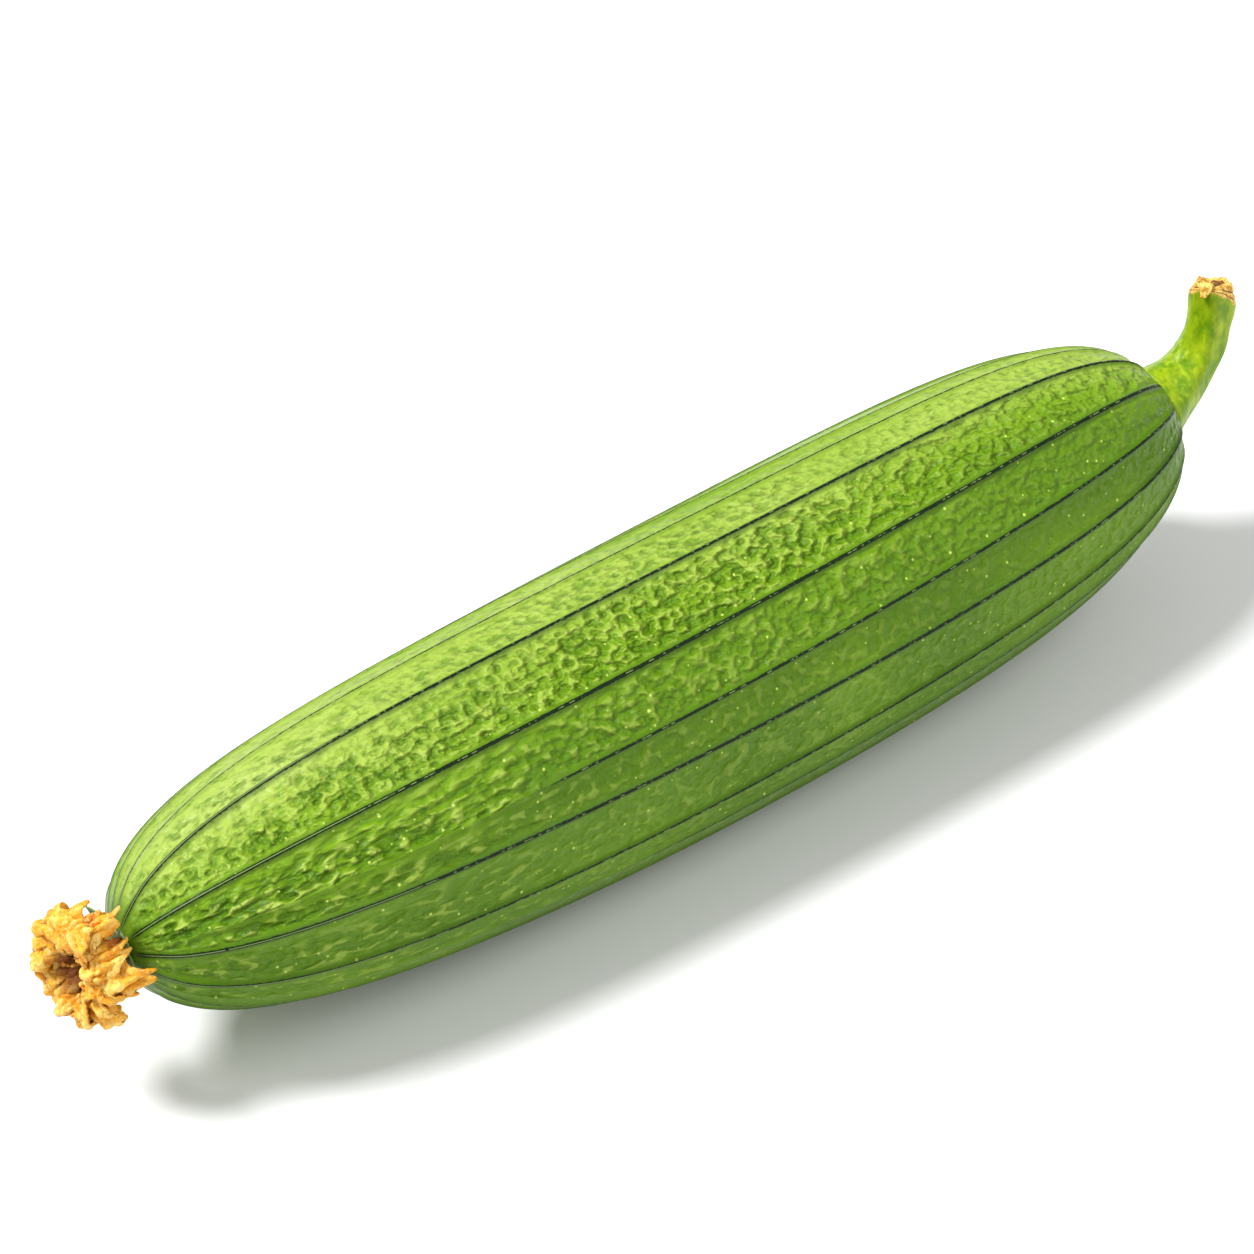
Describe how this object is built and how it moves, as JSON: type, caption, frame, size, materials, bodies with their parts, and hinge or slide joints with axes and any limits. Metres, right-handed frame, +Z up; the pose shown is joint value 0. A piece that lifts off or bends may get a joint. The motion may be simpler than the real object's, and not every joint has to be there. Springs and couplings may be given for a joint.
{
  "type": "ridge gourd",
  "caption": "Long, smooth-bodied ridge gourd as picked, with thin ridge lines, a curved cut stalk and a withered orange blossom on its tip.",
  "frame": {"origin": "on the surface that the gourd lies on, under the middle of its box", "axes": "+X along the fruit towards the stalk, +Z up, -Y towards the side seen in front in the picture"},
  "size_m": [0.3702, 0.0764, 0.0784],
  "materials": {
    "rind": "satin green rind with dark ridge lines and pale dots",
    "stalk": "satin yellow-green, tan and cracked at the cut end",
    "sepals": "matte grey-green",
    "petals": "limp, waxy orange-yellow petals, browned in their folds"
  },
  "bodies": {
    "root": {"fruit": "rind", "stem": "stalk", "calyx": "sepals", "dried_blossom": "petals"}
  },
  "joints": []
}
